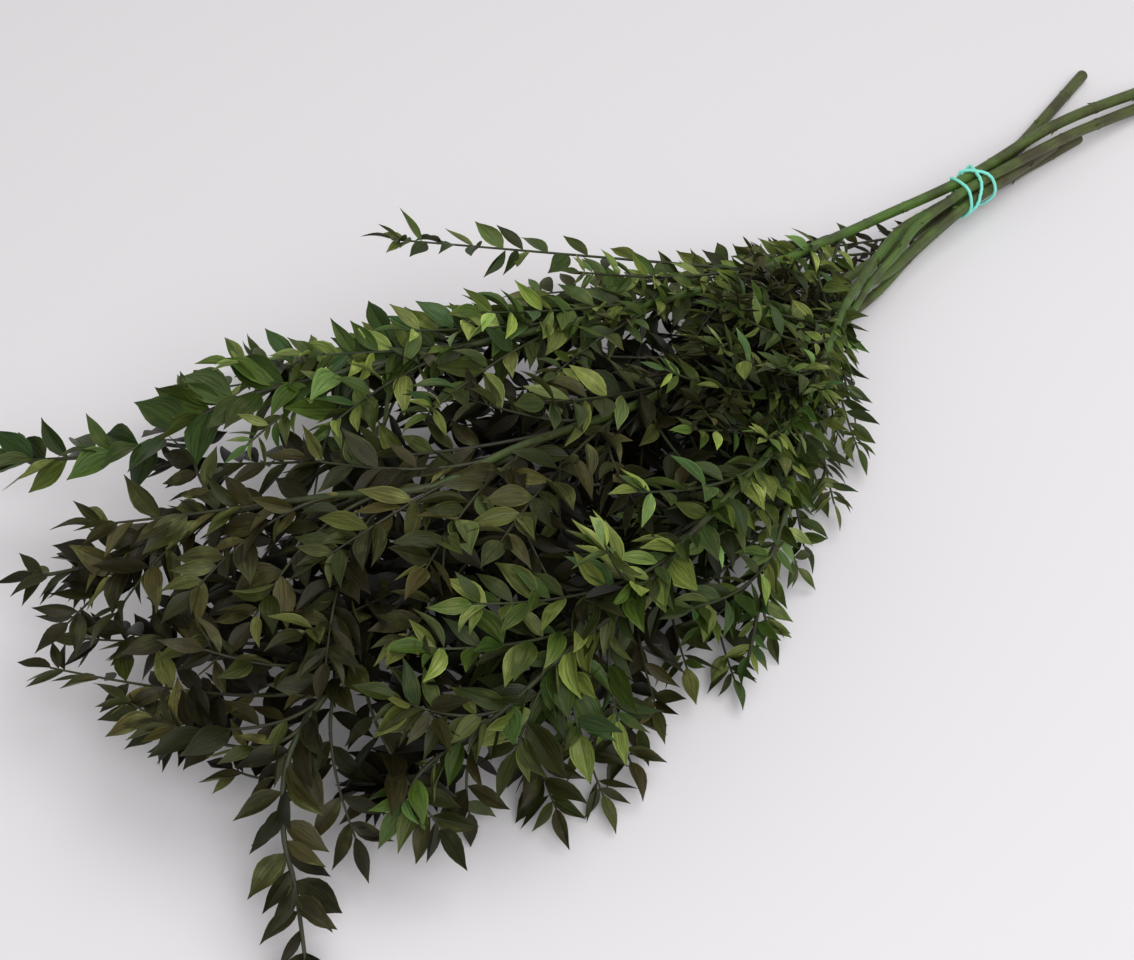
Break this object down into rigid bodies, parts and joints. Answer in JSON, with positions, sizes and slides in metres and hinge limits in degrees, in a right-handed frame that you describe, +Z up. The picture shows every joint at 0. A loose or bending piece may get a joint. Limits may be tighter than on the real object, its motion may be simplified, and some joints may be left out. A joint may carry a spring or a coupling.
{
  "type": "dried ruscus bunch",
  "caption": "Tied bunch of preserved ruscus stems lying on a table: bare stalks at the cut ends, a wound elastic band, and leafy side shoots with small pointed leaves.",
  "frame": {"origin": "on the table, under the middle of the whole bunch", "axes": "+X along the bunch towards the cut butts, +Y across it, +Z up from the table"},
  "size_m": [0.8038, 0.3672, 0.1507],
  "materials": {
    "green_leaf": "satin",
    "olive_leaf": "satin",
    "green_bark": "satin",
    "tie_elastic": "satin"
  },
  "bodies": {
    "root": {"upper_stem": "green_leaf", "middle_stem": "olive_leaf", "lower_left_stem": "olive_leaf", "front_stem": "green_leaf", "edge_stem": "green_leaf", "under_stem": "olive_leaf", "tie_band": "tie_elastic"}
  },
  "joints": []
}
